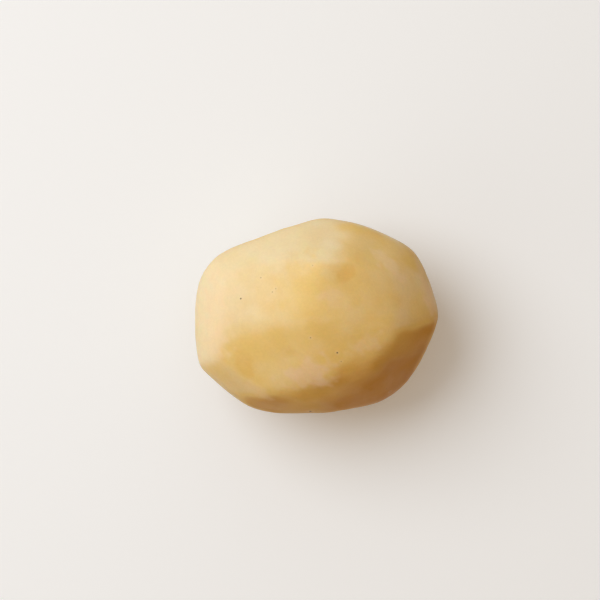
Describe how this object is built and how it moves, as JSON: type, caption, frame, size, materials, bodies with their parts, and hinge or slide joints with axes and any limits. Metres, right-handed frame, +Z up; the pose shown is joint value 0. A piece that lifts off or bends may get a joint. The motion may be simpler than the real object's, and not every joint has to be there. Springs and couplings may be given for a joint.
{
  "type": "potato",
  "caption": "Peeled potato: a rounded oblong tuber with soft flat peel strokes, low ridges and shallow eyes, one end pointed, lying on a flat spot.",
  "frame": {"origin": "on the surface the potato lies on, under the middle of its outline seen from above", "axes": "+X along the potato towards its pointed end, +Z up, the far side in the picture is +Y"},
  "size_m": [0.086, 0.0692, 0.058],
  "materials": {
    "flesh": "moist satin"
  },
  "bodies": {
    "root": {"potato": "flesh"}
  },
  "joints": []
}
